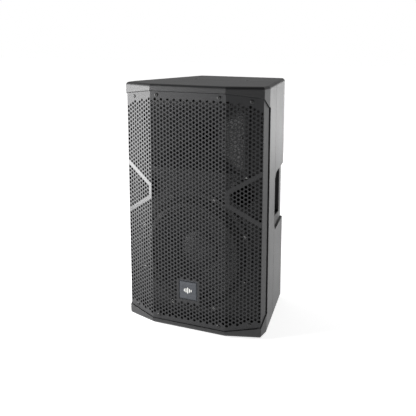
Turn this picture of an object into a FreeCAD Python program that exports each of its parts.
"""Two-way moulded loudspeaker cabinet for public address: enclosure, grille, drivers and amplifier.

Millimetres. +X is the viewer's right, +Y runs from the grille to the back, +Z is up. The origin is
under the middle of the cabinet, on the surface that its feet stand on.
"""
import FreeCAD, Part
import math
import os
import re
import Sketcher

SIZES = {
    # enclosure
    "cabinet_width": 364.0, "cabinet_depth": 322.0, "cabinet_height": 600.0,
    "back_width": 246.0, "facet_width": 198.0, "facet_set_back": 29.0, "side_start": 64.0,
    "edge_round": 7.5, "rear_round": 12.0, "wall": 6.0,
    "parting_depth": 165.0, "parting_gap": 1.2, "seal_inset": 1.5,
    # front opening that the grille closes
    "cap_height": 16.5, "cap_corner_drop": 10.0, "cap_side_drop": 23.0,
    "chin_height": 12.5, "chin_corner_rise": 13.0, "chin_side_rise": 21.5,
    "neck_inset": 8.0, "neck_lap": 3.0, "side_groove": 12.0,
    "baffle_behind": 7.0, "baffle_wall": 10.0,
    # grille, its screws and badge
    "grille_inset": 2.0, "grille_sheet": 1.5, "grille_clearance": 1.2, "flange_end": 61.0,
    "inner_screw_x": 82.0, "inner_screw_top": 26.0, "inner_screw_low": 23.0,
    "outer_screw_in": 27.0, "outer_screw_top": 34.0, "outer_screw_low": 32.0,
    "grille_boss_radius": 6.0, "grille_shank_radius": 1.9, "grille_shank": 13.0,
    "grille_head_radius": 4.4, "grille_head": 1.8, "grille_hex": 1.5, "grille_hole_radius": 2.7,
    "badge_width": 46.0, "badge_height": 45.0, "badge_up": 101.0, "badge_groove": 2.2,
    "badge_edge": 2.5, "badge_backing": 1.0, "badge_proud": 1.0, "badge_bevel": 1.2,
    # woofer, measured forwards from the front of the baffle
    "woofer_up": 190.0, "frame_radius": 154.5, "frame_lip": 5.0, "basket_radius": 139.0,
    "woofer_cutout": 141.0, "surround_radius": 119.0, "roll_radius": 9.0, "skin": 0.8,
    "cone_depth": 46.0, "cone_paper": 1.4, "cap_radius": 50.0, "cap_rise": 14.0,
    "coil_radius": 32.6, "coil_former": 0.8, "coil_winding": 1.2, "spider_deep": 60.0,
    "spider_radius": 74.0, "spider_wave": 1.8, "motor_deep": 84.0, "plate_thick": 8.0,
    "magnet_thick": 20.0, "magnet_radius": 75.0, "plate_radius": 70.0, "gap_radius": 35.0,
    "pole_radius": 30.5, "vent_radius": 8.0, "frame_leg": 78.0, "frame_wall": 4.0,
    "woofer_bolt_radius": 147.5, "woofer_bolts": 8.0, "woofer_shank_radius": 2.5,
    "woofer_shank": 14.0, "woofer_head_radius": 4.5, "woofer_head": 3.5, "basket_windows": 6.0,
    # horn and compression driver
    "horn_up": 472.0, "horn_width": 290.0, "horn_height": 178.0, "horn_lip": 5.0,
    "horn_wall": 3.0, "mouth_width": 262.0, "mouth_height": 150.0, "horn_deep": 110.0,
    "throat": 25.4, "horn_clearance": 1.5, "driver_radius": 46.0, "driver_plate": 8.0,
    "driver_magnet": 20.0, "driver_pole": 21.3, "driver_coil": 22.4, "driver_gap": 23.3,
    "driver_cover": 26.0, "dome_rise": 8.0, "dome_skin": 0.5, "horn_shank_radius": 2.0,
    # reflex ports
    "port_x": 128.0, "port_up": 345.0, "port_radius": 26.0, "port_wall": 3.5,
    "port_lip": 35.0, "port_lip_thick": 4.0, "port_length": 100.0,
    # carrying handles in the rear corners
    "handle_behind_seam": 0.4, "handle_low": 228.0, "handle_high": 376.0, "handle_to_amp": 10.0,
    "handle_sink": 5.0, "handle_wall": 4.0, "handle_clearance": 0.3, "grip_width": 34.0,
    "grip_thick": 19.0,
    # pole socket, rigging points and feet
    "socket_depth": 112.0, "pole_bore": 17.75, "socket_wall": 3.75, "socket_length": 87.0,
    "socket_flange": 45.0, "socket_flange_thick": 3.0, "socket_bolt_radius": 35.0,
    "socket_shank_radius": 2.0, "socket_pad": 10.0,
    "rigging_x": 72.0, "rigging_depth": 190.0, "rigging_back_up": 60.0, "insert_radius": 9.0,
    "insert_length": 30.0, "insert_bore": 4.25, "insert_bore_length": 25.0, "rigging_boss": 13.0,
    "foot_height": 3.0, "foot_radius": 11.0, "foot_sink": 2.0, "front_foot_x": 120.0,
    "front_foot_depth": 60.0, "rear_foot_x": 85.0, "rear_foot_depth": 280.0,
    # screws that close the enclosure
    "shell_screw_x": 40.0, "shell_screw_in": 16.0, "side_screw_x": 97.0, "side_screw_low": 150.0,
    "side_screw_high": 480.0, "shell_boss": 8.0, "shell_boss_front": 45.0, "shell_clamp": 30.0,
    "shell_shank_radius": 2.5, "shell_head_radius": 4.6, "shell_head": 3.4,
    "shell_counterbore": 5.5, "shell_bite": 28.0, "rib": 4.0,
    # amplifier module in the back
    "amp_width": 134.0, "amp_low": 120.0, "amp_height": 320.0, "amp_sink": 15.0,
    "amp_seal": 1.0, "amp_plate": 3.0, "amp_ledge": 6.0, "amp_frame": 5.0, "amp_fit": 0.5,
    "chassis_deep": 56.0, "chassis_sheet": 1.5, "chassis_inset": 2.0, "board": 1.6,
    "fin_height": 9.0, "fin_base": 2.0, "fin_thick": 2.0, "fin_pitch": 9.0, "fins": 13.0,
    "sink_low": 345.0, "sink_tall": 88.0, "jack_x": 42.0, "jack_width": 26.0,
    "jack_tall": 31.0, "jack_plate": 2.0, "jack_barrel": 11.5, "jack_bore": 9.5,
    "jack_bore_deep": 20.0, "jack_deep": 30.0, "jack_high": 308.0, "jack_pitch": 42.0,
    "knob_radius": 7.0, "knob_tall": 9.5, "knob_gap": 0.5, "shaft_radius": 3.0,
    "pot_radius": 8.5, "pot_deep": 9.0, "shaft_play": 0.25, "button_radius": 4.0,
    "button_proud": 3.0, "button_long": 9.0, "button_play": 0.3, "led_radius": 1.6,
    "led_pitch": 7.0, "inlet_x": 33.0, "mains_up": 152.0, "inlet_width": 48.0,
    "inlet_tall": 28.0, "inlet_deep": 24.0, "rocker_x": 32.0, "bezel_width": 22.0,
    "bezel_tall": 31.0, "bezel_thick": 2.0, "rocker_width": 15.0, "rocker_tall": 22.0,
    "rocker_thick": 7.0, "rocker_tilt": 7.0, "rocker_play": 1.0, "amp_shank_radius": 1.8,
    "amp_head_radius": 3.4, "amp_head": 2.2, "amp_shank": 12.0,
    "amp_screw_in": 3.2, "amp_screw_end": 6.0, "toroid_ring": 22.0, "toroid_tube": 13.0,
    "toroid_up": 50.0, "toroid_lift": 13.2, "can_radius": 8.0, "can_tall": 28.0, "can_pitch": 21.0,
    "can_row": 25.0, "can_left": 42.0, "can_low": 20.0, "board_gap": 4.0, "board_margin": 5.0,
    "power_board_tall": 180.0, "pin_radius": 1.2, "pin_long": 14.0, "pin_circle": 4.2,
    "pointer_width": 1.2, "pointer_deep": 0.7, "shaft_end": 5.0, "pot_hole_deep": 7.0,
    "plate_lap": 8.0, "case_drop": 2.0, "inlet_mouth_width": 25.0, "inlet_mouth_tall": 17.0,
    "inlet_mouth_deep": 18.0, "blade_width": 2.0, "blade_tall": 4.0, "blade_long": 15.0,
    "bezel_deep": 16.0, "bezel_lap": 1.0, "bezel_drop": 1.5, "bezel_room_deep": 12.0,
    "rocker_rise": 3.5, "rocker_dip": 1.2, "rocker_foot": 5.0, "rocker_pin_radius": 1.6,
    "rocker_pin_play": 0.3, "lining_thick": 25.0, "lining_gap": 0.5,
    # lesser details of the drivers
    "terminal_width": 26.0, "terminal_tall": 16.0, "tab_long": 8.0, "tab_tall": 4.8,
    "tab_thick": 1.0, "tab_x": 8.5, "window_in": 16.0, "window_out": 38.0, "basket_skirt": 10.0,
    "coil_overhang": 14.0, "spider_land": 10.0, "gasket_in": 2.0, "gasket_width": 10.0,
    "gasket_rise": 2.5, "gasket_bevel": 1.0, "surround_glue": 5.0, "surround_rim": 11.0,
    "neck_flat": 1.6, "neck_paper": 3.0, "rim_paper": 0.6, "cap_glue": 0.1, "frame_step": 8.0,
    "gap_flange": 5.0, "basket_floor": 9.0, "horn_screw_x": 6.0, "horn_screw_z": 7.0,
    "port_lead": 4.0, "port_bevel": 1.5, "port_flare": 1.2, "port_flare_deep": 6.0,
}

# Sizes that follow from a neighbour's place and a clearance.
SIDE_LENGTH = "sqrt((cabinet_depth - side_start) ^ 2 + ((cabinet_width - back_width) / 2) ^ 2)"
FITTED = {
    "neck_width": "(cabinet_width - 2 * neck_inset)",
    "baffle_depth": "(facet_set_back + baffle_behind)",
    "outer_screw_x": "(cabinet_width / 2 - outer_screw_in)",
    "seam_to_handle": "(parting_depth + parting_gap / 2 + handle_behind_seam - side_start)",
    "handle_start": f"((seam_to_handle * {SIDE_LENGTH} + wall * (cabinet_width - back_width) / 2)"
                    " / (cabinet_depth - side_start))",
    "handle_deep": "(back_width / 2 - amp_width / 2 - handle_to_amp)",
}
WORD = "[a-z][a-z_0-9]*"

doc = FreeCAD.newDocument("loudspeaker")
sheet = doc.addObject("Spreadsheet::Sheet", "sizes")
for row, (alias, size) in enumerate(SIZES.items(), start=1):
    sheet.set(f"A{row}", alias)
    sheet.set(f"B{row}", str(size))
    sheet.setAlias(f"B{row}", alias)
doc.recompute()

UP = FreeCAD.Rotation()
FORWARD = FreeCAD.Rotation(FreeCAD.Vector(1, 0, 0), 90)
BACKWARD = FreeCAD.Rotation(FreeCAD.Vector(1, 0, 0), -90)
DOWN = FreeCAD.Rotation(FreeCAD.Vector(1, 0, 0), 180)
PAST = 1.0  # how far a cutter runs past the face that it opens


def spelled(text):
    """An expression whose fitted sizes are written out in the sheet's aliases."""
    return re.sub(WORD, lambda word: spelled(FITTED[word[0]]) if word[0] in FITTED else word[0], str(text))


def number(text):
    """The value of an expression on the sheet's aliases."""
    return float(sheet.evalExpression(spelled(text)))


def bind(text):
    """The same expression as another object of the document refers to it."""
    return re.sub(WORD, lambda word: "sizes." * (word[0] in SIZES) + word[0], spelled(text))


def deep(depth):
    """Y of a depth behind the front of the cabinet."""
    return f"({depth}) - cabinet_depth / 2"


def high(height):
    """Z of a height above the underside of the cabinet."""
    return f"({height}) + foot_height"


def place(item, x=0, y=0, z=0, turn=UP):
    item.Placement = FreeCAD.Placement(FreeCAD.Vector(number(x), number(y), number(z)), turn)
    for axis, text in zip("xyz", (x, y, z)):
        item.setExpression(f"Placement.Base.{axis}", bind(text))
    return item


def box(name, low, size, turn=UP):
    item = doc.addObject("Part::Box", name)
    for side, text in zip(("Length", "Width", "Height"), size):
        item.setExpression(side, bind(text))
    return place(item, *low, turn=turn)


def rod(name, radius, length, at, turn=UP):
    item = doc.addObject("Part::Cylinder", name)
    item.setExpression("Radius", bind(radius))
    item.setExpression("Height", bind(length))
    return place(item, *at, turn=turn)


def join(name, *items):
    item = doc.addObject("Part::MultiFuse", name)
    item.Shapes = list(items)
    return item


def common(name, base, tool):
    item = doc.addObject("Part::Common", name)
    item.Base, item.Tool = base, tool
    return item


def cut(name, base, *tools):
    item = doc.addObject("Part::Cut", name)
    item.Base = base
    item.Tool = tools[0] if len(tools) == 1 else join(name + "_tools", *tools)
    return item


def mirrored(name, source):
    item = doc.addObject("Part::Mirroring", name)
    item.Source = source
    item.Normal = FreeCAD.Vector(1, 0, 0)
    return item


def group(name, *items):
    item = doc.addObject("Part::Compound", name)
    item.Links = list(items)
    return item


def copies(name, pattern, places):
    """Copies of one object as separate solids, each at (x, y, z, turn)."""
    made = []
    for x, y, z, turn in places:
        copy = doc.addObject("App::Link", name + "_copy")
        copy.LinkedObject = pattern
        copy.LinkTransform = True
        made.append(place(copy, x, y, z, turn))
    return group(name, *made)


def body(name, *at, turn=UP):
    return place(doc.addObject("PartDesign::Body", name), *at, turn=turn)


def sketch(owner, role, offset=0):
    """A sketch on one of the body's origin planes, moved along that plane's normal."""
    made = owner.newObject("Sketcher::SketchObject", owner.Name + "_sketch")
    plane = next(face for face in owner.Origin.OriginFeatures if face.Role == role)
    made.AttachmentSupport = [(plane, "")]
    made.MapMode = "FlatFace"
    made.setExpression("AttachmentOffset.Base.z", bind(offset))
    return made


def polygon(owner, points):
    """A closed outline whose corners are held at the given expressions."""
    first = owner.GeometryCount
    spots = [FreeCAD.Vector(number(x), number(y), 0) for x, y in points]
    for start, end in zip(spots, spots[1:] + spots[:1]):
        owner.addGeometry(Part.LineSegment(start, end))
    for index in range(len(points)):
        following = first + (index + 1) % len(points)
        owner.addConstraint(Sketcher.Constraint("Coincident", first + index, 2, following, 1))
    for index, corner in enumerate(points):
        for kind, text in zip(("DistanceX", "DistanceY"), corner):
            rule = Sketcher.Constraint(kind, -1, 1, first + index, 1, number(text))
            owner.setExpression(f"Constraints[{owner.addConstraint(rule)}]", bind(text))
    return owner


def pad(owner, profile, length, kind="PartDesign::Pad"):
    feature = owner.newObject(kind, owner.Name + "_" + kind.split("::")[1].lower())
    feature.Profile = profile
    feature.setExpression("Length", bind(length))
    return feature


def prism(name, role, points, offset, length):
    """An outline on one of the origin planes, padded along that plane's normal."""
    made = body(name)
    pad(made, polygon(sketch(made, role, offset), points), length)
    return made


def turned(name, profile, at=(0, 0, 0), turn=UP):
    """A closed (radius, height) outline turned about the body's own Z axis."""
    made = body(name, *at, turn=turn)
    outline = polygon(sketch(made, "XZ_Plane"), profile)
    feature = made.newObject("PartDesign::Revolution", name + "_turning")
    feature.Profile = outline
    feature.ReferenceAxis = (outline, ["V_Axis"])
    feature.Angle = 360
    return made


def ring(name, inner, outer, low, high_side, at=(0, 0, 0), turn=UP):
    return turned(name, [(inner, low), (outer, low), (outer, high_side), (inner, high_side)], at, turn)


def screw(name, shank_radius, shank, head_radius, head, socket):
    """A pan-head screw: its head stands on Z = 0, its shank runs down from there."""
    made = turned(name, [(0, f"-({shank})"), (shank_radius, f"-({shank})"), (shank_radius, 0),
                         (head_radius, 0), (head_radius, f"({head}) * 0.55"),
                         (f"({head_radius}) * 0.7", head), (0, head)])
    corners = [(f"({socket}) * cos({60 * n})", f"({socket}) * sin({60 * n})") for n in range(6)]
    pad(made, polygon(sketch(made, "XY_Plane", head), corners), f"({head}) * 0.6", "PartDesign::Pocket")
    return made


# --- enclosure -----------------------------------------------------------------------------------

HALF = "cabinet_width / 2"
FACET = "facet_width / 2"
TAPER = "(cabinet_width - back_width) / 2 / (cabinet_depth - side_start)"


def half_width(depth):
    """Half the width of the tapering sides at a depth."""
    return f"{HALF} - {TAPER} * (({depth}) - side_start)"


def plan(inset):
    """The cabinet from above: a middle facet, two swept facets, and sides that taper to the back."""
    right = [
        (FACET, deep(inset)),
        (f"{HALF} - ({inset})", deep(f"facet_set_back + ({inset})")),
        (f"{HALF} - ({inset})", deep("side_start")),
        (f"back_width / 2 - ({inset})", deep(f"cabinet_depth - ({inset})")),
    ]
    return right + [(f"-({x})", y) for x, y in reversed(right)]


def filleted(owner, radius, wanted):
    """Round the edges of a body that the test picks out."""
    doc.recompute()
    base = owner.Tip
    names = [f"Edge{n}" for n, edge in enumerate(owner.Shape.Edges, start=1) if wanted(edge)]
    feature = owner.newObject("PartDesign::Fillet", owner.Name + "_round")
    feature.Base = (base, names)
    feature.setExpression("Radius", bind(radius))


def is_rear_upright(edge):
    return edge.BoundBox.ZLength > 1 and edge.BoundBox.YMin > number(deep("cabinet_depth")) - 1


def is_rim(edge):
    return edge.BoundBox.ZLength < 0.01


def form(name, inset):
    return prism(name, "XY_Plane", plan(inset), high(inset), f"cabinet_height - 2 * ({inset})")


outer_form = form("outer_form", 0)
filleted(outer_form, "rear_round", is_rear_upright)
filleted(outer_form, "edge_round", is_rim)

NECK = "neck_width / 2"
STEP = "flange_end + side_groove + wall + neck_lap"
cavity_side = [
    (f"{NECK} - wall", deep("baffle_depth + baffle_wall")),
    (f"{NECK} - wall", deep(STEP)),
    (f"{half_width(STEP)} - wall", deep(STEP)),
    ("back_width / 2 - wall", deep("cabinet_depth - wall")),
]
cavity = prism("cavity", "XY_Plane", cavity_side + [(f"-({x})", y) for x, y in reversed(cavity_side)],
               high("wall"), "cabinet_height - 2 * wall")

# The opening that the grille closes, seen from the front and, for its returns, from the side.
CAP_LINE = "cabinet_height - cap_height"
CORNER_SHARE = f"({NECK} - {FACET}) / ({HALF} - {FACET})"


def front_outline(clearance, reach, share):
    """Top and bottom edges fall away from the middle facet towards the corners."""
    top, low = f"{CAP_LINE} - ({clearance})", f"chin_height + ({clearance})"
    corner_top, corner_low = f"{top} - cap_corner_drop * ({share})", f"{low} + chin_corner_rise * ({share})"
    right = [(FACET, high(low)), (reach, high(corner_low)), (reach, high(corner_top)), (FACET, high(top))]
    return right + [(f"-({x})", y) for x, y in reversed(right)]


def side_outline(clearance, front, back):
    """The returns of the opening narrow towards the back."""
    top = f"{CAP_LINE} - cap_corner_drop - ({clearance})"
    low = f"chin_height + chin_corner_rise + ({clearance})"
    return [(deep(front), high(low)), (deep("facet_set_back"), high(low)),
            (deep("flange_end"), high(f"{low} + chin_side_rise")),
            (deep(back), high(f"{low} + chin_side_rise")),
            (deep(back), high(f"{top} - cap_side_drop")), (deep("flange_end"),
                                                           high(f"{top} - cap_side_drop")),
            (deep("facet_set_back"), high(top)), (deep(front), high(top))]


front_pocket = prism("front_pocket", "XZ_Plane", front_outline(0, NECK, CORNER_SHARE),
                     f"-({deep('baffle_depth')})", f"baffle_depth + {PAST}")
side_pocket = prism("side_pocket", "YZ_Plane", side_outline(0, -PAST, "flange_end + side_groove"),
                    NECK, f"{HALF} - {NECK} + {PAST}")
side_pocket_left = mirrored("side_pocket_left", side_pocket)

# --- grille and its screws -----------------------------------------------------------------------

GRILLE_RUN = f"({HALF} - grille_inset - {FACET})"
facet_angle = math.degrees(math.atan(number(f"facet_set_back / {GRILLE_RUN}")))


def grille_band(inset):
    """The folded sheet from above, from one return round the three facets to the other."""
    right = [(FACET, deep(inset)), (f"{HALF} - ({inset})", deep(f"facet_set_back + ({inset})")),
             (f"{HALF} - ({inset})", deep("flange_end"))]
    return right + [(f"-({x})", y) for x, y in reversed(right)]


def facing(angle):
    """Outwards through a facet that is turned by this angle from the front."""
    return FreeCAD.Rotation(FreeCAD.Vector(0, 0, 1), angle) * FORWARD


OUTER_DEPTH = f"(grille_inset + facet_set_back * (outer_screw_x - {FACET}) / {GRILLE_RUN})"


def grille_spots():
    """Where each grille screw stands on the outside of the sheet."""
    spots = []
    for side in (-1, 1):
        for up in ("cabinet_height - inner_screw_top", "inner_screw_low"):
            spots.append((f"{side} * inner_screw_x", deep("grille_inset"), high(up), FORWARD))
        for up in ("cabinet_height - outer_screw_top", "outer_screw_low"):
            spots.append((f"{side} * outer_screw_x", deep(OUTER_DEPTH), high(up),
                          facing(side * facet_angle)))
    return spots


def spots_at(from_side, spots):
    """The spots on the outer or the inner facets."""
    return [spot for spot in spots if (spot[3] is FORWARD) == (from_side == "inner")]


grille_sheet_band = prism("grille_sheet_band", "XY_Plane", grille_band("grille_inset"), high(0),
                          "cabinet_height")
grille_hollow = prism(
    "grille_hollow", "XY_Plane",
    [(x, y) for x, y in grille_band("grille_inset + grille_sheet")[:2]]
    + [(f"{HALF} - grille_inset - grille_sheet", deep(f"flange_end + {PAST}")),
       (f"-({HALF} - grille_inset - grille_sheet)", deep(f"flange_end + {PAST}"))]
    + grille_band("grille_inset + grille_sheet")[4:],
    high(-PAST), f"cabinet_height + 2 * {PAST}")
grille_front = prism("grille_front", "XZ_Plane", front_outline("grille_clearance", HALF, 1),
                     f"-({deep('flange_end')})", f"flange_end + {PAST}")
grille_returns = prism("grille_returns", "YZ_Plane", side_outline("grille_clearance", -PAST,
                                                                  f"flange_end + {PAST}"),
                       f"-{HALF}", "cabinet_width")
grille_facets = box("grille_facets", (f"-{HALF}", deep(-PAST), high(0)),
                    ("cabinet_width", f"facet_set_back + {PAST}", "cabinet_height"))
grille_side = join("grille_side", grille_returns, grille_facets)
grille_trim = common("grille_trim", grille_front, grille_side)
grille_folded = common("grille_folded", cut("grille_fold", grille_sheet_band, grille_hollow), grille_trim)
grille_punch = rod("grille_punch", "grille_hole_radius", "6 * grille_sheet", (0, 0, "-3 * grille_sheet"))
BADGE_HOLE_WIDTH = "badge_width + 2 * badge_groove"
BADGE_HOLE_HEIGHT = "badge_height + 2 * badge_groove"
badge_hole = box("badge_hole", (f"-({BADGE_HOLE_WIDTH}) / 2", deep(0),
                                high(f"badge_up - ({BADGE_HOLE_HEIGHT}) / 2")),
                 (BADGE_HOLE_WIDTH, "grille_inset + grille_sheet + 1", BADGE_HOLE_HEIGHT))
grille = cut("grille", grille_folded, copies("grille_holes", grille_punch, grille_spots()), badge_hole)

grille_screw = screw("grille_screw", "grille_shank_radius", "grille_shank", "grille_head_radius",
                     "grille_head", "grille_hex")
grille_screws = copies("grille_screws", grille_screw, grille_spots())

BADGE_BACK = deep("grille_inset + grille_sheet + badge_backing")
badge_plate = body("badge_plate")
pad(badge_plate, polygon(sketch(badge_plate, "XZ_Plane", f"-({BADGE_BACK})"), [
    (f"{side_x} * (badge_width / 2 + badge_groove + badge_edge)",
     high(f"badge_up + {side_z} * (badge_height / 2 + badge_groove + badge_edge)"))
    for side_x, side_z in ((-1, -1), (1, -1), (1, 1), (-1, 1))]), "badge_backing")
badge_raised = body("badge_raised")
pad(badge_raised, polygon(sketch(badge_raised, "XZ_Plane", f"-({BADGE_BACK})"), [
    (f"{side_x} * badge_width / 2", high(f"badge_up + {side_z} * badge_height / 2"))
    for side_x, side_z in ((-1, -1), (1, -1), (1, 1), (-1, 1))]),
    "badge_backing + grille_sheet + badge_proud")
doc.recompute()
front_edges = [f"Edge{n}" for n, edge in enumerate(badge_raised.Shape.Edges, start=1)
               if edge.BoundBox.YMax < badge_raised.Shape.BoundBox.YMin + 0.01]
badge_pad = badge_raised.Tip
badge_chamfer = badge_raised.newObject("PartDesign::Chamfer", "badge_chamfer")
badge_chamfer.Base = (badge_pad, front_edges)
badge_chamfer.setExpression("Size", bind("badge_bevel"))
badge = join("badge", badge_plate, badge_raised)

# --- woofer --------------------------------------------------------------------------------------

WOOFER = (0, deep("baffle_depth"), high("woofer_up"))


def woofer_piece(name, profile):
    return turned(name, profile, WOOFER, FORWARD)


def bolt_circle(name, pattern, radius, count, centre, start=0.0):
    """Copies of a screw or of its hole round a centre on the front of the baffle."""
    x, y, z = centre
    turns = [math.radians(start + 360.0 * n / count) for n in range(count)]
    return copies(name, pattern, [(f"({x}) + ({radius}) * {math.cos(turn):.6f}", y,
                                   f"({z}) + ({radius}) * {math.sin(turn):.6f}",
                                   FORWARD) for turn in turns])


FLANGE_TOP = "frame_lip"
LAND = "surround_radius + roll_radius"
LEG_IN = "frame_leg - frame_wall"
basket = woofer_piece("basket", [
    (LAND, FLANGE_TOP), ("frame_radius", FLANGE_TOP), ("frame_radius", 0), ("basket_radius", 0),
    ("basket_radius", "-basket_skirt"), ("frame_leg", "-spider_deep - 2"), ("frame_leg", "-motor_deep"),
    ("gap_radius + gap_flange", "-motor_deep"), ("gap_radius + gap_flange", "frame_wall - motor_deep"),
    (LEG_IN, "frame_wall - motor_deep"), (LEG_IN, "-spider_deep - 3"),
    (f"{LEG_IN} - frame_step", "-spider_deep - 3"), (f"{LEG_IN} - frame_step", "-spider_deep"),
    (f"{LEG_IN} + 1", "-spider_deep"), ("basket_radius - frame_wall", "-basket_floor"),
    ("basket_radius - frame_wall", 0), (LAND, 0)])
window_sketch = polygon(sketch(basket, "XY_Plane", "-spider_deep - 1"), [
    ("frame_leg + frame_wall", "-window_in"), ("basket_radius - basket_skirt", "-window_out"),
    ("basket_radius - basket_skirt", "window_out"), ("frame_leg + frame_wall", "window_in")])
window = pad(basket, window_sketch, "spider_deep - 11", "PartDesign::Pocket")
window.Reversed = True
doc.recompute()
windows = basket.newObject("PartDesign::PolarPattern", "basket_windows")
windows.Originals = [window]
windows.Axis = (window_sketch, ["N_Axis"])
windows.setExpression("Occurrences", bind("basket_windows"))
basket.Tip = windows
frame_drill = rod("frame_drill", "woofer_shank_radius", "frame_lip + 1", (0, 0, -0.5))
woofer_frame = cut("woofer_frame", basket, bolt_circle(
    "frame_drill_holes", frame_drill, "woofer_bolt_radius", int(number("woofer_bolts")), WOOFER, 22.5))

woofer_screw = screw("woofer_screw", "woofer_shank_radius", "woofer_shank", "woofer_head_radius",
                     "woofer_head", "grille_hex * 1.3")
SCREW_PLANE = (0, deep("baffle_depth - frame_lip"), high("woofer_up"))
woofer_screws = bolt_circle("woofer_screws", woofer_screw, "woofer_bolt_radius",
                            int(number("woofer_bolts")), SCREW_PLANE, 22.5)


def half_roll(radius, tube, base, steps):
    """The arc of a half roll, from its inner side over the top to its outer side."""
    angles = [180 - 180 * n / steps for n in range(steps + 1)]
    return [(f"({radius}) + ({tube}) * cos({a})", f"({base}) + ({tube}) * sin({a})") for a in angles]


ROLL_STEPS = 10
CONE_EDGE = "surround_radius - roll_radius"
outer_roll = half_roll("surround_radius", "roll_radius", "frame_lip", ROLL_STEPS)[1:-1]
inner_roll = half_roll("surround_radius", "roll_radius - skin", "frame_lip", ROLL_STEPS)
woofer_surround = woofer_piece("woofer_surround", [
    (f"{CONE_EDGE} - surround_glue", "frame_lip"), (f"{CONE_EDGE} - surround_glue", "frame_lip + skin"),
    (CONE_EDGE, "frame_lip + skin"), *outer_roll, (LAND, "frame_lip + skin"),
    (f"{LAND} + surround_rim", "frame_lip + skin"), (f"{LAND} + surround_rim", "frame_lip"),
    *reversed(inner_roll)])
GASKET_IN = f"{LAND} + gasket_in"
GASKET_OUT = f"{GASKET_IN} + gasket_width"
GASKET_TOP = "frame_lip + skin + gasket_rise"
woofer_gasket = woofer_piece("woofer_gasket", [
    (GASKET_IN, "frame_lip + skin"), (GASKET_OUT, "frame_lip + skin"), (GASKET_OUT, GASKET_TOP),
    (f"{GASKET_OUT} - gasket_bevel", f"{GASKET_TOP} + gasket_bevel"),
    (f"{GASKET_IN} + gasket_bevel", f"{GASKET_TOP} + gasket_bevel"), (GASKET_IN, GASKET_TOP)])

NECK_FRONT = "frame_lip - cone_depth"
CONE_IN = "coil_radius + neck_flat"
NECK_BACK = f"{NECK_FRONT} - neck_paper"
woofer_cone = woofer_piece("woofer_cone", [
    (CONE_EDGE, "frame_lip"), (f"{CONE_EDGE} - surround_glue", "frame_lip"), (CONE_IN, NECK_FRONT),
    ("coil_radius", NECK_FRONT), ("coil_radius", NECK_BACK), (CONE_IN, NECK_BACK),
    (f"{CONE_EDGE} - surround_glue", "frame_lip - cone_paper - rim_paper"),
    (CONE_EDGE, "frame_lip - cone_paper")])

CAP_STEPS = 8
CONE_SLOPE = f"cone_depth / ({CONE_EDGE} - surround_glue - neck_flat - coil_radius)"
CAP_SEAT = f"{NECK_FRONT} + ({CONE_SLOPE}) * (cap_radius - coil_radius - neck_flat) + cap_glue"


def dome(radius, seat, rise, steps):
    """A rounded cap from its rim to the point on its axis."""
    return [(f"({radius}) * cos({90 * n / steps})", f"({seat}) + ({rise}) * sin({90 * n / steps})")
            for n in range(steps)] + [(0, f"({seat}) + ({rise})")]


dust_cap = woofer_piece("dust_cap", dome("cap_radius", CAP_SEAT, "cap_rise", CAP_STEPS)
                        + list(reversed(dome("cap_radius - skin", CAP_SEAT, "cap_rise - skin", CAP_STEPS))))

COIL_END = "-motor_deep - coil_overhang"
voice_coil = woofer_piece("voice_coil", [
    ("coil_radius - coil_former", f"{NECK_FRONT} + 2"), ("coil_radius", f"{NECK_FRONT} + 2"),
    ("coil_radius", "2 - motor_deep"), ("coil_radius + coil_winding", "2 - motor_deep"),
    ("coil_radius + coil_winding", COIL_END), ("coil_radius - coil_former", COIL_END)])

SPIDER_STEPS = 24
SPIDER_IN = "(coil_radius + 3)"
SPIDER_RUN = f"(spider_radius - spider_land - {SPIDER_IN})"


def spider_wave(base):
    """Three rings of corrugation between the voice coil and the landing on the frame."""
    shares = [n / SPIDER_STEPS for n in range(SPIDER_STEPS + 1)]
    return [(f"{SPIDER_IN} + {SPIDER_RUN} * {share:.5f}",
             f"({base}) + spider_wave * sin({3 * 360 * share})") for share in shares]


SPIDER_BASE = "-spider_deep"
woofer_spider = woofer_piece("woofer_spider", [
    ("coil_radius", SPIDER_BASE), *spider_wave(SPIDER_BASE), ("spider_radius - 0.3", SPIDER_BASE),
    ("spider_radius - 0.3", f"{SPIDER_BASE} + skin"), *reversed(spider_wave(f"{SPIDER_BASE} + skin")),
    ("coil_radius", f"{SPIDER_BASE} + skin")])

PLATE_BACK = "-motor_deep - plate_thick"
MAGNET_BACK = f"{PLATE_BACK} - magnet_thick"
woofer_top_plate = ring("woofer_top_plate", "gap_radius", "plate_radius", PLATE_BACK, "-motor_deep",
                        WOOFER, FORWARD)
woofer_magnet = ring("woofer_magnet", "gap_radius + 8", "magnet_radius", MAGNET_BACK, PLATE_BACK, WOOFER,
                     FORWARD)
woofer_yoke = woofer_piece("woofer_yoke", [
    ("vent_radius", f"{MAGNET_BACK} - plate_thick"), ("plate_radius", f"{MAGNET_BACK} - plate_thick"),
    ("plate_radius", MAGNET_BACK), ("pole_radius", MAGNET_BACK), ("pole_radius", "-motor_deep"),
    ("vent_radius", "-motor_deep")])
TERMINAL_BACK = deep("baffle_depth + motor_deep - 2")
terminal_block = box("terminal_block", ("-terminal_width / 2", deep("baffle_depth + spider_deep + 4"),
                                        high("woofer_up + frame_leg - 6")),
                     ("terminal_width", "motor_deep - spider_deep - 6", "terminal_tall"))
terminal_tabs = [box("terminal_tab", (x, TERMINAL_BACK, high("woofer_up + frame_leg + 4")),
                     ("tab_thick", "tab_long", "tab_tall")) for x in ("-tab_x", "tab_x - tab_thick")]
woofer_terminals = cut("woofer_terminals", join("terminals", terminal_block, *terminal_tabs), rod(
    "terminal_seat", "frame_leg", "2 * motor_deep", (0, deep("baffle_depth + 2 * motor_deep"),
                                                     high("woofer_up")), FORWARD))

# --- horn and compression driver -----------------------------------------------------------------

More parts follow.
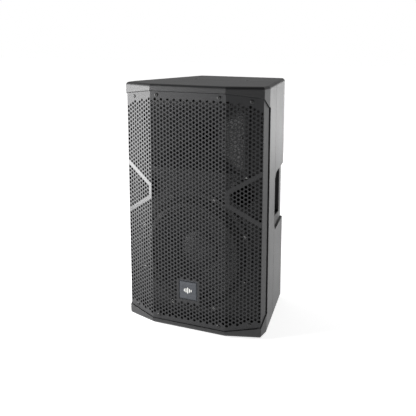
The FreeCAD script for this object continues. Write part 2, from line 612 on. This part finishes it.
HORN = (0, deep("baffle_depth"), high("horn_up"))
THROAT = "-horn_deep"
FLARE = ((0.3, 0.62, 0.66), (0.65, 0.32, 0.38))  # shares of the horn's depth, mouth width and mouth height


def oblong(owner, height, width, tall):
    """A rectangular section of the horn at a height in front of the baffle."""
    return polygon(sketch(owner, "XY_Plane", height), [
        (f"{side_x} * ({width}) / 2", f"{side_z} * ({tall}) / 2")
        for side_x, side_z in ((-1, -1), (1, -1), (1, 1), (-1, 1))])


def flare(owner, kind, front, grow):
    """The horn's expansion: three straight stretches from the throat to the mouth."""
    stations = [(front, "mouth_width", "mouth_height")]
    stations += [(f"-horn_deep * {part}", f"mouth_width * {wide}", f"mouth_height * {tall}")
                 for part, wide, tall in FLARE]
    stations.append((THROAT, "throat", "throat"))
    sections = [oblong(owner, up, f"({width}) + 2 * ({grow})", f"({tall}) + 2 * ({grow})")
                for up, width, tall in stations]
    feature = owner.newObject(kind, owner.Name + "_flare")
    feature.Profile = sections[0]
    feature.Sections = sections[1:]
    feature.Ruled = True
    return feature


horn_bell = body("horn_bell", *HORN, turn=FORWARD)
pad(horn_bell, oblong(horn_bell, 0, "horn_width", "horn_height"), "horn_lip")
flare(horn_bell, "PartDesign::AdditiveLoft", 0, "horn_wall")
flare(horn_bell, "PartDesign::SubtractiveLoft", "horn_lip", 0)
horn_spots = [(f"{side_x} * (horn_width / 2 - horn_screw_x)",
               f"{side_z} * (horn_height / 2 - horn_screw_z)")
              for side_x in (-1, 1) for side_z in (-1, 1)]
horn_screw = screw("horn_screw", "horn_shank_radius", "woofer_shank", "woofer_head_radius - 0.6",
                   "woofer_head - 1", "grille_hex")
horn_drill = rod("horn_drill", "horn_shank_radius", "woofer_shank + 1", (0, 0, "-woofer_shank"))


horn_places = [(x, deep("baffle_depth - horn_lip"), f"{high('horn_up')} + {z}", FORWARD)
               for x, z in horn_spots]
horn_drill_holes = copies("horn_drill_holes", horn_drill, horn_places)
horn = cut("horn", horn_bell, horn_drill_holes)
horn_screws = copies("horn_screws", horn_screw, horn_places)


def driver_piece(name, profile):
    return turned(name, profile, HORN, FORWARD)


THROAT_RADIUS = "throat / 2 + 0.3"
POLE_PLATE_BACK = f"{THROAT} - driver_plate"
DRIVER_MAGNET_BACK = f"{POLE_PLATE_BACK} - driver_magnet"
POLE_END = f"{DRIVER_MAGNET_BACK} - driver_plate"
hf_pole_plate = driver_piece("hf_pole_plate", [
    (THROAT_RADIUS, THROAT), ("driver_radius", THROAT), ("driver_radius", POLE_PLATE_BACK),
    ("driver_pole", POLE_PLATE_BACK), ("driver_pole", POLE_END), (THROAT_RADIUS, POLE_END)])
hf_magnet = ring("hf_magnet", "driver_gap + 4", "driver_radius", DRIVER_MAGNET_BACK, POLE_PLATE_BACK,
                 HORN, FORWARD)
hf_top_plate = ring("hf_top_plate", "driver_gap", "driver_radius", POLE_END, DRIVER_MAGNET_BACK, HORN,
                    FORWARD)
phase_plug = driver_piece("phase_plug", [
    (0, f"{THROAT} - 10"), (2, f"{THROAT} - 11"), ("throat / 2 - 3", f"{POLE_END} + 6"),
    (THROAT_RADIUS, f"{POLE_END} + 4"), (THROAT_RADIUS, f"{POLE_END} + 1"), (0, f"{POLE_END} + 1")])
DOME_SEAT = f"{POLE_END} - 6"
hf_voice_coil = ring("hf_voice_coil", "driver_coil - dome_skin", "driver_coil", DOME_SEAT,
                     f"{DRIVER_MAGNET_BACK} - 2", HORN, FORWARD)


def dome_back(skin):
    """The diaphragm's dome, which bulges away from the throat."""
    return [(f"driver_coil * cos({15 * n})",
             f"{DOME_SEAT} - {skin} - dome_rise * sin({15 * n})") for n in range(6)]


hf_diaphragm = driver_piece("hf_diaphragm", [
    ("driver_coil + 7", DOME_SEAT), *dome_back("0"), (0, f"{DOME_SEAT} - dome_rise"),
    (0, f"{DOME_SEAT} - dome_skin - dome_rise"), *reversed(dome_back("dome_skin")),
    ("driver_coil + 7", f"{DOME_SEAT} - dome_skin")])
COVER_END = f"{POLE_END} - driver_cover"
hf_rear_cover = driver_piece("hf_rear_cover", [
    ("driver_coil + 7.8", POLE_END), ("driver_radius", POLE_END), ("driver_radius", f"{COVER_END} + 4"),
    ("driver_radius - 4", COVER_END), (0, COVER_END), (0, f"{COVER_END} + 3.5"),
    ("driver_radius - 5", f"{COVER_END} + 3.5"), ("driver_radius - 5", f"{POLE_END} - 8"),
    ("driver_coil + 7.8", f"{POLE_END} - 8")])

# --- reflex ports --------------------------------------------------------------------------------

PORT_PROFILE = [
    ("port_radius + port_lead", "port_lip_thick"), ("port_lip", "port_lip_thick - port_bevel"),
    ("port_lip", 0), ("port_radius + port_wall", 0), ("port_radius + port_wall", "-port_length"),
    ("port_radius", "-port_length"), ("port_radius", "-port_flare_deep"), ("port_radius + port_flare", 0)]
port_tubes = [turned(f"port_tube_{side}", PORT_PROFILE,
                     (f"{sign} * port_x", deep("baffle_depth"), high("port_up")), FORWARD)
              for side, sign in (("left", -1), ("right", 1))]

# --- carrying handles: one moulded insert for each rear corner -----------------------------------

taper_angle = math.degrees(math.atan(number(TAPER)))
ALONG = FreeCAD.Rotation(FreeCAD.Vector(0, 0, 1), taper_angle)
CORNER = (HALF, deep("side_start"), high(0))


def along_side(name, points, inner, outer):
    """An outline of (distance along the tapering side, height), as thick as from inner to outer."""
    made = body(name, *CORNER, turn=ALONG)
    pad(made, polygon(sketch(made, "YZ_Plane", inner), points), f"({outer}) - ({inner})")
    return made


HANDLE_MIDDLE = "(handle_low + handle_high) / 2"
HANDLE_END = f"{SIDE_LENGTH} + 30"
POCKET_START = "handle_start + 6"
POCKET_END = f"{SIDE_LENGTH} - grip_width - handle_sink"


def handle_block(name, clearance, outer):
    low, top, start = (f"handle_low - ({clearance})", f"handle_high + ({clearance})",
                       f"handle_start - ({clearance})")
    return along_side(name, [(start, f"{low} + 14"), (f"{start} + 16", low), (HANDLE_END, low),
                             (HANDLE_END, top),
                             (f"{start} + 16", top), (start, f"{top} - 14")],
                             f"-handle_deep - ({clearance})", outer)


handle_cavity = along_side("handle_cavity", [
    (POCKET_START, f"{HANDLE_MIDDLE} - 4"), (f"{POCKET_START} + 7", f"{HANDLE_MIDDLE} - 26"),
    (f"{POCKET_START} + 22", "handle_low + 30"), (POCKET_END, "handle_low + 22"),
    (POCKET_END, "handle_high - 7"),
    (f"{POCKET_START} + 60", "handle_high - 9"), (f"{POCKET_START} + 24", "handle_high - 17"),
    (f"{POCKET_START} + 7", "handle_high - 28"), (POCKET_START, "handle_high - 42")],
    "handle_wall - handle_deep", PAST)
finger_room = along_side("finger_room", [
    (f"{POCKET_END} - 5", "handle_low + 22"), (f"{POCKET_END} + grip_width - handle_wall - 4",
                                               "handle_low + 22"),
    (f"{POCKET_END} + grip_width - handle_wall - 4", "handle_high - 9"), (f"{POCKET_END} - 5",
                                                                          "handle_high - 9")],
    "handle_wall - handle_deep", "-handle_sink - grip_thick")
handle_solid = common("handle_solid", handle_block("handle_body", 0, 0), form("handle_skin", "handle_sink"))
handle_cup_right = cut("handle_cup_right", handle_solid, handle_cavity, finger_room)
handle_cup_left = mirrored("handle_cup_left", handle_cup_right)
handle_window = common("handle_window", handle_block("handle_gap", "handle_clearance", PAST), box(
    "handle_reach_box", ("amp_width / 2 + amp_frame", deep("side_start"), high(0)),
    (HALF, "cabinet_depth", "cabinet_height")))
handle_window_left = mirrored("handle_window_left", handle_window)

# --- pole socket, rigging points and feet --------------------------------------------------------

SOCKET = (0, deep("socket_depth"), high(0))
SOCKET_OUT = "pole_bore + socket_wall"
socket_turning = turned("socket_turning", [
    ("pole_bore", 0), ("socket_flange", 0), ("socket_flange", "socket_flange_thick"),
    (SOCKET_OUT, "socket_flange_thick"), (SOCKET_OUT, "socket_length + socket_wall"),
    (0, "socket_length + socket_wall"), (0, "socket_length"), ("pole_bore", "socket_length")], SOCKET)
socket_screw = screw("socket_screw", "socket_shank_radius", "socket_pad", "socket_shank_radius + 1.8", 2,
                     1.2)
socket_drill = rod("socket_drill", "socket_shank_radius", "socket_pad + 1", (0, 0, "-socket_pad"))
socket_sink = rod("socket_sink", "socket_shank_radius + 2", 3, (0, 0, 0))
socket_hole = join("socket_hole", socket_drill, socket_sink)


def socket_places():
    """Four screws, their heads sunk flush into the flange."""
    turns = [math.radians(45 + 90 * n) for n in range(4)]
    return [(f"socket_bolt_radius * {math.cos(turn):.6f}", f"{deep('socket_depth')} + socket_bolt_radius * "
             f"{math.sin(turn):.6f}", high(2), DOWN) for turn in turns]


socket_drill_holes = copies("socket_drill_holes", socket_hole, socket_places())
pole_socket = cut("pole_socket", socket_turning, socket_drill_holes)
pole_socket_screws = copies("pole_socket_screws", socket_screw, socket_places())

insert = turned("insert", [
    (0, "-insert_length"), ("insert_radius", "-insert_length"), ("insert_radius", 0), ("insert_bore", 0),
    ("insert_bore", "-insert_bore_length"), (0, "-insert_bore_length")])
insert_plug = rod("insert_plug", "insert_radius", "insert_length + 1", (0, 0, "-insert_length"))
rigging_places = [("-rigging_x", deep("rigging_depth"), high("cabinet_height"), UP),
                  ("rigging_x", deep("rigging_depth"), high("cabinet_height"), UP),
                  (0, deep("cabinet_depth"), high("rigging_back_up"), BACKWARD)]
rigging_inserts = copies("rigging_inserts", insert, rigging_places)
rigging_holes = copies("rigging_holes", insert_plug, rigging_places)
rigging_post = rod("rigging_post", "rigging_boss", "insert_length + wall", (0, 0, "-insert_length - wall"))
rigging_posts = copies("rigging_posts", rigging_post, rigging_places)

foot_places = [(f"{side} * {part}_foot_x", deep(f"{part}_foot_depth"), 0, UP)
               for part in ("front", "rear") for side in (-1, 1)]
foot = turned("foot", [(0, 0), ("foot_radius - 1.5", 0), ("foot_radius", 1.5), ("foot_radius",
                                                                                "foot_height + foot_sink"),
                       (0, "foot_height + foot_sink")])
rubber_feet = copies("rubber_feet", foot, foot_places)
foot_recess = rod("foot_recess", "foot_radius", "foot_height + foot_sink", (0, 0, 0))
foot_recesses = copies("foot_recesses", foot_recess, foot_places)

# --- amplifier module ----------------------------------------------------------------------------

PANEL_BACK = "cabinet_depth - amp_sink + amp_seal"  # inner face of the panel
PANEL = f"{PANEL_BACK} + amp_plate"  # outer face of the panel
AMP_HALF = "amp_width / 2"


def on_panel(x, up, depth=PANEL):
    return (x, deep(depth), high(up))


def slab(name, half, low, tall, near, far):
    """A block centred on X, between two depths."""
    return box(name, (f"-({half})", deep(near), high(low)), (f"2 * ({half})", f"({far}) - ({near})", tall))


KNOB_SPOTS = {"gain_knob_1": (0, "jack_high"), "gain_knob_2": (0, "jack_high - jack_pitch"),
              "level_knob": ("jack_x", "jack_high")}
JACK_SPOTS = {"combo_jack_1": ("-jack_x", "jack_high"), "combo_jack_2": ("-jack_x",
                                                                         "jack_high - jack_pitch"),
              "link_output": ("-jack_x", "jack_high - 2 * jack_pitch")}
BUTTON_SPOT = ("jack_x", "jack_high - jack_pitch")
LED_SPOTS = [("jack_x", f"jack_high - jack_pitch * 2 + led_pitch * {n}") for n in range(-1, 3)]

panel_blank = slab("panel_blank", AMP_HALF, "amp_low", "amp_height", PANEL_BACK, PANEL)
amp_screw_spots = [(f"{side} * ({AMP_HALF} - amp_screw_in)",
                    f"amp_low + amp_screw_end + (amp_height - 2 * amp_screw_end) * {n} / 3")
                   for side in (-1, 1) for n in range(4)]


def panel_hole(name, radius, x, up):
    return rod(name, radius, f"amp_plate + 2 * {PAST}", on_panel(x, up, f"{PANEL_BACK} - {PAST}"), BACKWARD)


panel_cuts = [panel_hole("jack_hole", "jack_barrel", x, up) for x, up in JACK_SPOTS.values()]
panel_cuts += [panel_hole("shaft_hole", "shaft_radius + 3 * shaft_play", x, up)
               for x, up in KNOB_SPOTS.values()]
panel_cuts += [panel_hole("led_hole", "led_radius", x, up) for x, up in LED_SPOTS]
panel_cuts.append(panel_hole("button_hole", "button_radius + button_play", *BUTTON_SPOT))
panel_cuts.append(box("inlet_hole", ("-inlet_x - inlet_width / 2 + plate_lap", deep(f"{PANEL_BACK} - 1"),
                                     high("mains_up - inlet_tall / 2 + case_drop")),
                      ("inlet_width - 2 * plate_lap", "amp_plate + 2", "inlet_tall - 2 * case_drop")))
panel_cuts.append(box("switch_hole", ("rocker_x - bezel_width / 2 + bezel_lap", deep(f"{PANEL_BACK} - 1"),
                                      high("mains_up - bezel_tall / 2 + bezel_drop")),
                      ("bezel_width - 2 * bezel_lap", "amp_plate + 2", "bezel_tall - 2 * bezel_drop")))
amp_drill = rod("amp_drill", "amp_shank_radius", "amp_shank + 1", (0, 0, "-amp_shank"))
amp_screw_places = [(*on_panel(x, up), BACKWARD) for x, up in amp_screw_spots]
amp_drill_holes = copies("amp_drill_holes", amp_drill, amp_screw_places)
amp_panel = cut("amp_panel", panel_blank, *panel_cuts, amp_drill_holes)
amp_screw = screw("amp_screw", "amp_shank_radius", "amp_shank", "amp_head_radius", "amp_head", 1.3)
amp_screws = copies("amp_screws", amp_screw, amp_screw_places)

SEAL_BACK = "cabinet_depth - amp_sink"
LEDGE_HALF = "amp_width / 2 - amp_ledge"
amp_gasket = cut("amp_gasket", slab("seal_blank", AMP_HALF, "amp_low", "amp_height", SEAL_BACK, PANEL_BACK),
                 slab("seal_hole", LEDGE_HALF, "amp_low + amp_ledge", "amp_height - 2 * amp_ledge",
                      f"{SEAL_BACK} - 1", f"{PANEL_BACK} + 1"), amp_drill_holes)
amp_surround = slab("amp_surround", f"{AMP_HALF} + amp_frame", "amp_low - amp_frame",
                    "amp_height + 2 * amp_frame", f"{SEAL_BACK} - amp_ledge", "cabinet_depth - 1")
amp_recess = slab("amp_recess", f"{AMP_HALF} + amp_fit", "amp_low - amp_fit", "amp_height + 2 * amp_fit",
                  SEAL_BACK, f"cabinet_depth + {PAST}")
amp_opening = slab("amp_opening", LEDGE_HALF, "amp_low + amp_ledge", "amp_height - 2 * amp_ledge",
                   f"{SEAL_BACK} - amp_ledge - 1", f"{SEAL_BACK} + 1")

sink_base = slab("sink_base", "(fins - 1) * fin_pitch / 2 + fin_thick / 2", "sink_low", "sink_tall", PANEL,
                 f"{PANEL} + fin_base")
fin_sheets = [box("fin", (f"({n} - (fins - 1) / 2) * fin_pitch - fin_thick / 2", deep(PANEL),
                          high("sink_low")),
                  ("fin_thick", "fin_height", "sink_tall")) for n in range(int(number("fins")))]
heatsink = join("heatsink", sink_base, *fin_sheets)

CHASSIS_HALF = f"{LEDGE_HALF} - chassis_inset"
CHASSIS_LOW = "amp_low + amp_ledge + chassis_inset"
CHASSIS_TALL = "amp_height - 2 * amp_ledge - 2 * chassis_inset"
CHASSIS_FAR = f"{PANEL_BACK} - chassis_deep"
amp_chassis = cut("amp_chassis", slab("chassis_blank", CHASSIS_HALF, CHASSIS_LOW, CHASSIS_TALL,
                                      CHASSIS_FAR, PANEL_BACK),
                  slab("chassis_room", f"{CHASSIS_HALF} - chassis_sheet", f"{CHASSIS_LOW} + chassis_sheet",
                       f"{CHASSIS_TALL} - 2 * chassis_sheet", f"{CHASSIS_FAR} + chassis_sheet",
                       f"{PANEL_BACK} + 1"))
BOARD_BACK = f"{CHASSIS_FAR} + chassis_sheet + board_gap"
BOARD_HALF = f"{CHASSIS_HALF} - board_margin"
power_board = slab("power_board", BOARD_HALF, "sink_low - 100", "power_board_tall", BOARD_BACK,
                   f"{BOARD_BACK} + board")
input_board = slab("input_board", BOARD_HALF, "jack_high - 2 * jack_pitch - 16", "2 * jack_pitch + 34",
                   f"{PANEL_BACK} - jack_deep - board", f"{PANEL_BACK} - jack_deep")
toroid_core = doc.addObject("Part::Torus", "toroid")
toroid_core.setExpression("Radius1", bind("toroid_ring"))
toroid_core.setExpression("Radius2", bind("toroid_tube"))
toroid = place(toroid_core, 0, deep(f"{CHASSIS_FAR} + chassis_sheet + toroid_lift"),
               high("amp_low + toroid_up"),
               BACKWARD)
CAN_FRONT = deep(f"{BOARD_BACK} + board")
capacitors = group("capacitors", *[rod("capacitor", "can_radius", "can_tall", (
    f"{column} * can_pitch - can_left", CAN_FRONT, high(f"sink_low + can_low + {line} * can_row")),
    BACKWARD)
    for column in (0, 1) for line in (0, 1)])


def jack(name, x, up, pins):
    """A chassis socket: square plate outside the panel, barrel through it, round mouth for the plug."""
    plate = box(name + "_plate", (f"({x}) - jack_width / 2", deep(PANEL), high(f"({up}) - jack_tall / 2")),
                ("jack_width", "jack_plate", "jack_tall"))
    barrel = rod(name + "_barrel", "jack_barrel", "jack_deep + amp_plate",
                 on_panel(x, up, f"{PANEL_BACK} - jack_deep"), BACKWARD)
    mouth = rod(name + "_mouth", "jack_bore", f"jack_bore_deep + {PAST}",
                on_panel(x, up, f"{PANEL} + jack_plate - jack_bore_deep"), BACKWARD)
    shell = cut(name + "_shell" if pins else name, join(name + "_solid", plate, barrel), mouth)
    if not pins:
        return shell
    posts = [rod(name + "_pin", "pin_radius", "pin_long", on_panel(
        f"({x}) + pin_circle * {math.cos(turn):.4f}", f"({up}) + pin_circle * {math.sin(turn):.4f}",
        f"{PANEL} + jack_plate - jack_bore_deep - 0.5"), BACKWARD)
             for turn in (math.radians(-90), math.radians(30), math.radians(150))]
    return join(name, shell, *posts)


jacks = [jack(name, x, up, name == "link_output") for name, (x, up) in JACK_SPOTS.items()]


def knob(name, x, up):
    """A ribbed knob with a pointer, moulded on the shaft that runs into its potentiometer."""
    made = turned(name + "_turning", [
        (0, "-amp_plate - shaft_end"), ("shaft_radius", "-amp_plate - shaft_end"), ("shaft_radius",
                                                                                    "knob_gap"),
        ("knob_radius", "knob_gap"), ("knob_radius - 0.8", "knob_gap + knob_tall - 1"),
        ("knob_radius - 1.8", "knob_gap + knob_tall"), (0, "knob_gap + knob_tall")], on_panel(x, up),
        BACKWARD)
    pointer = box(name + "_pointer", (f"({x}) - pointer_width / 2",
                                      deep(f"{PANEL} + knob_gap + knob_tall - pointer_deep"), high(up)),
                  ("pointer_width", f"pointer_deep + {PAST}", f"knob_radius + {PAST}"))
    return cut(name, made, pointer)


knobs = [knob(name, x, up) for name, (x, up) in KNOB_SPOTS.items()]
pots = []
for x, up in KNOB_SPOTS.values():
    case = rod("pot_case", "pot_radius", "pot_deep", on_panel(x, up, f"{PANEL_BACK} - pot_deep"), BACKWARD)
    hole = rod("pot_hole", "shaft_radius + shaft_play", f"pot_hole_deep + {PAST}",
               on_panel(x, up, f"{PANEL_BACK} - pot_hole_deep"), BACKWARD)
    pots.append(cut("pot", case, hole))
knob_pots = group("knob_pots", *pots)

preset_button = turned("preset_button", [
    (0, "-button_long"), ("button_radius", "-button_long"), ("button_radius", "button_proud - 0.6"),
    ("button_radius - 0.6", "button_proud"), (0, "button_proud")], on_panel(*BUTTON_SPOT), BACKWARD)
led_rods = [rod("led", "led_radius", "amp_plate + 3", on_panel(x, up, f"{PANEL_BACK} - 2"), BACKWARD)
            for x, up in LED_SPOTS]
status_leds = group("status_leds", *led_rods)

INLET_CASE = ("inlet_width - 2 * plate_lap", "inlet_tall - 2 * case_drop")
inlet_plate = box("inlet_plate", ("-inlet_x - inlet_width / 2", deep(PANEL),
                                  high("mains_up - inlet_tall / 2")),
                  ("inlet_width", "jack_plate", "inlet_tall"))
inlet_case = box("inlet_case", (f"-inlet_x - ({INLET_CASE[0]}) / 2", deep(f"{PANEL_BACK} - inlet_deep"),
                                high(f"mains_up - ({INLET_CASE[1]}) / 2")),
                 (INLET_CASE[0], "inlet_deep + amp_plate", INLET_CASE[1]))
MOUTH_END = f"{PANEL} + jack_plate - inlet_mouth_deep"
inlet_mouth = box("inlet_mouth", ("-inlet_x - inlet_mouth_width / 2", deep(MOUTH_END),
                                  high("mains_up - inlet_mouth_tall / 2")),
                  ("inlet_mouth_width", f"inlet_mouth_deep + {PAST}", "inlet_mouth_tall"))
inlet_blades = [box("inlet_blade", (f"-inlet_x + ({x})", deep(f"{MOUTH_END} - 0.5"),
                                    high(f"mains_up + ({z})")),
                    ("blade_width", "blade_long", "blade_tall"))
                for x, z in ((-8, "-blade_tall"), ("8 - blade_width", "-blade_tall"), ("-blade_width / 2",
                                                                                       1))]
mains_inlet = join("mains_inlet", cut("inlet_shell", join("inlet_solid", inlet_plate, inlet_case),
                                      inlet_mouth),
                   *inlet_blades)

BEZEL_CASE = ("bezel_width - 2 * bezel_lap", "bezel_tall - 2 * bezel_drop")
bezel_plate = box("bezel_plate", ("rocker_x - bezel_width / 2", deep(PANEL),
                                  high("mains_up - bezel_tall / 2")),
                  ("bezel_width", "bezel_thick", "bezel_tall"))
bezel_case = box("bezel_case", (f"rocker_x - ({BEZEL_CASE[0]}) / 2", deep(f"{PANEL_BACK} - bezel_deep"),
                                high(f"mains_up - ({BEZEL_CASE[1]}) / 2")),
                 (BEZEL_CASE[0], "bezel_deep + amp_plate", BEZEL_CASE[1]))
bezel_room = box("bezel_room", ("rocker_x - rocker_width / 2 - rocker_play",
                                deep(f"{PANEL_BACK} - bezel_room_deep"),
                                high("mains_up - rocker_tall / 2 - rocker_play")),
                 ("rocker_width + 2 * rocker_play", f"bezel_room_deep + amp_plate + bezel_thick + {PAST}",
                  "rocker_tall + 2 * rocker_play"))
switch_bezel = cut("switch_bezel", join("bezel_solid", bezel_plate, bezel_case), bezel_room)
rocker_cap = body("rocker_cap", *on_panel("rocker_x", "mains_up"),
                  turn=FreeCAD.Rotation(FreeCAD.Vector(1, 0, 0), number("rocker_tilt")))
pad(rocker_cap, polygon(sketch(rocker_cap, "YZ_Plane", "-rocker_width / 2"), [
    ("-rocker_thick", "-rocker_tall / 2 + rocker_foot"), ("rocker_rise", "-rocker_tall / 2"),
    ("rocker_dip", 0),
    ("rocker_rise", "rocker_tall / 2"), ("-rocker_thick", "rocker_tall / 2 - rocker_foot")]),
    "rocker_width")
PIN_HALF = "(rocker_width / 2 + rocker_play - rocker_pin_play)"
rocker_pin = rod("rocker_pin", "rocker_pin_radius", f"2 * {PIN_HALF}",
                 (f"rocker_x - {PIN_HALF}", deep(PANEL), high("mains_up")),
                 FreeCAD.Rotation(FreeCAD.Vector(0, 1, 0), 90))
mains_rocker = join("mains_rocker", rocker_cap, rocker_pin)

damping_lining = slab("damping_lining", "side_screw_x - shell_boss - 4",
                      "amp_low + amp_height + amp_frame + 8",
                      "cabinet_height - amp_low - amp_height - amp_frame - wall - 34",
                      "cabinet_depth - wall - lining_gap - lining_thick",
                      "cabinet_depth - wall - lining_gap")

# --- the two shells, their seal and screws -------------------------------------------------------

shell_screw_spots = [(f"{side} * shell_screw_x", up) for side in (-1, 1)
                     for up in ("shell_screw_in", "cabinet_height - shell_screw_in")]
shell_screw_spots += [(f"{side} * side_screw_x", up) for side in (-1, 1) for up in ("side_screw_low",
                                                                                    "side_screw_high")]
HEAD_PLANE = "parting_depth + shell_clamp"
shell_places = [(x, deep(HEAD_PLANE), high(up), BACKWARD) for x, up in shell_screw_spots]
shell_screw = screw("shell_screw", "shell_shank_radius", "shell_clamp + shell_bite", "shell_head_radius",
                    "shell_head", "grille_hex * 1.3")
shell_screws = copies("shell_screws", shell_screw, shell_places)
shell_drill = join("shell_drill", rod("shell_drill_hole", "shell_shank_radius",
                                      "shell_clamp + shell_bite + 1",
                                      (0, 0, "-shell_clamp - shell_bite")),
                   rod("shell_sink_hole", "shell_counterbore", "cabinet_depth", (0, 0, 0)))
shell_drill_holes = copies("shell_drill_holes", shell_drill, shell_places)
BOSS_FRONT = "parting_depth - shell_boss_front"
shell_boss = rod("shell_boss", "shell_boss", f"cabinet_depth - ({BOSS_FRONT}) - 1",
                 (0, 0, f"{BOSS_FRONT} - ({HEAD_PLANE})"))
shell_bosses = copies("shell_bosses", shell_boss, shell_places)
ribs = [box("rib", (f"{x} * side_screw_x - {0 if x > 0 else 1} * {HALF}", deep(BOSS_FRONT),
                    high(f"{up} - rib / 2")),
            (HALF, "shell_boss_front + shell_clamp", "rib"))
        for x in (-1, 1) for up in ("side_screw_low", "side_screw_high")]
ribs += [box("rib", (f"{x} * shell_screw_x - rib / 2", deep(BOSS_FRONT), high(f"{up}")),
             ("rib", "shell_boss_front + shell_clamp", "shell_screw_in"))
         for x in (-1, 1) for up in ("0", "cabinet_height - shell_screw_in")]
socket_seat = rod("socket_seat", "socket_flange + 3", "socket_flange_thick + socket_pad", SOCKET)
grille_boss_inner = rod("grille_boss_inner", "grille_boss_radius",
                        "baffle_depth - grille_inset - grille_sheet",
                        (0, 0, "grille_inset - baffle_depth"))
OUTER_REACH = f"(baffle_depth + baffle_wall / 2 - {OUTER_DEPTH}) / cos({facet_angle:.4f})"
grille_boss_outer = rod("grille_boss_outer", "grille_boss_radius", f"{OUTER_REACH} - 1.5 * grille_sheet",
                        (0, 0, f"-{OUTER_REACH}"))
grille_bosses = group("grille_bosses", copies("inner_bosses", grille_boss_inner, spots_at("inner",
                                                                                          grille_spots())),
                      copies("outer_bosses", grille_boss_outer, spots_at("outer", grille_spots())))

whole_shell = cut("whole_shell", outer_form, cavity, front_pocket, side_pocket, side_pocket_left)
inner_parts = common("inner_parts", outer_form, join(
    "additions", shell_bosses, *ribs, socket_seat, rigging_posts, amp_surround, grille_bosses))
full_shell = join("full_shell", whole_shell, inner_parts)

baffle_openings = [
    rod("woofer_opening", "woofer_cutout", "baffle_wall + 2", (0, deep("baffle_depth + baffle_wall + 1"),
                                                               high("woofer_up")),
        FORWARD),
    slab("horn_opening", "mouth_width / 2 + horn_wall + horn_clearance",
         "horn_up - mouth_height / 2 - horn_wall - horn_clearance",
         "mouth_height + 2 * horn_wall + 2 * horn_clearance",
         "baffle_depth - 1", "baffle_depth + baffle_wall + 1")]
baffle_openings += [rod("port_opening", "port_radius + port_wall", "baffle_wall + 2",
                        (f"{side} * port_x", deep("baffle_depth + baffle_wall + 1"), high("port_up")),
                        FORWARD)
                    for side in (-1, 1)]
woofer_drill = rod("woofer_drill", "woofer_shank_radius", "woofer_shank + 1", (0, 0, "-woofer_shank"))
woofer_drill_holes = bolt_circle("woofer_drill_holes", woofer_drill, "woofer_bolt_radius",
                                 int(number("woofer_bolts")), SCREW_PLANE, 22.5)
grille_drill = rod("grille_drill", "grille_shank_radius", "grille_shank + 1", (0, 0, "-grille_shank"))
grille_drill_holes = copies("grille_drill_holes", grille_drill, grille_spots())
socket_recess = join("socket_recess", rod("socket_disc", "socket_flange", f"socket_flange_thick + {PAST}",
                                          (0, deep("socket_depth"), high(-PAST))),
                     rod("socket_tube_hole", SOCKET_OUT, "socket_length", SOCKET))
whole = "cabinet_width / 2 + 10"
behind = slab("behind", whole, -10, "cabinet_height + 20", "parting_depth - parting_gap / 2",
              "cabinet_depth + 10")
before = slab("before", whole, -10, "cabinet_height + 20", -10, "parting_depth + parting_gap / 2")

front_shell = cut("front_shell", full_shell, behind, *baffle_openings, woofer_drill_holes,
                  grille_drill_holes,
                  horn_drill_holes, socket_recess, socket_drill_holes, rigging_holes, foot_recesses,
                  shell_drill_holes)
rear_shell = cut("rear_shell", full_shell, before, amp_recess, amp_opening, amp_drill_holes, handle_window,
                 handle_window_left, rigging_holes, foot_recesses, shell_drill_holes)
seal_form = form("seal_form", "seal_inset")
seal_slab = slab("seal_slab", whole, -10, "cabinet_height + 20", "parting_depth - parting_gap / 2",
                 "parting_depth + parting_gap / 2")
shell_gasket = cut("shell_gasket", common("seal_band", seal_form, seal_slab), cavity)

# --- writing -------------------------------------------------------------------------------------

NODES = [
    front_shell, rear_shell, shell_gasket, shell_screws, handle_cup_left, handle_cup_right, pole_socket,
    pole_socket_screws, rigging_inserts, rubber_feet, *port_tubes, grille, grille_screws, badge,
    woofer_frame,
    woofer_gasket, woofer_cone, dust_cap, woofer_surround, woofer_spider, voice_coil, woofer_top_plate,
    woofer_magnet, woofer_yoke, woofer_screws, woofer_terminals, horn, horn_screws, hf_pole_plate,
    hf_magnet,
    hf_top_plate, phase_plug, hf_diaphragm, hf_voice_coil, hf_rear_cover, amp_panel, amp_gasket, heatsink,
    amp_chassis, power_board, input_board, toroid, capacitors, *jacks, mains_inlet, switch_bezel,
    mains_rocker,
    *knobs, knob_pots, preset_button, status_leds, amp_screws, damping_lining,
]
doc.recompute()
failed = [f"{item.Name}: {item.getStatusString()}" for item in doc.Objects
          if "Invalid" in item.State or "Error" in item.State]
if failed:
    raise RuntimeError("did not build: " + "; ".join(failed))
for node in NODES:
    shape = node.Shape
    if shape.isNull() or not shape.isValid() or not shape.Solids:
        raise RuntimeError(f"{node.Label} has no valid solid")
os.makedirs("parts", exist_ok=True)
for node in NODES:
    node.Shape.exportStep(f"parts/{node.Label}.step")
print(f"{len(NODES)} nodes written")
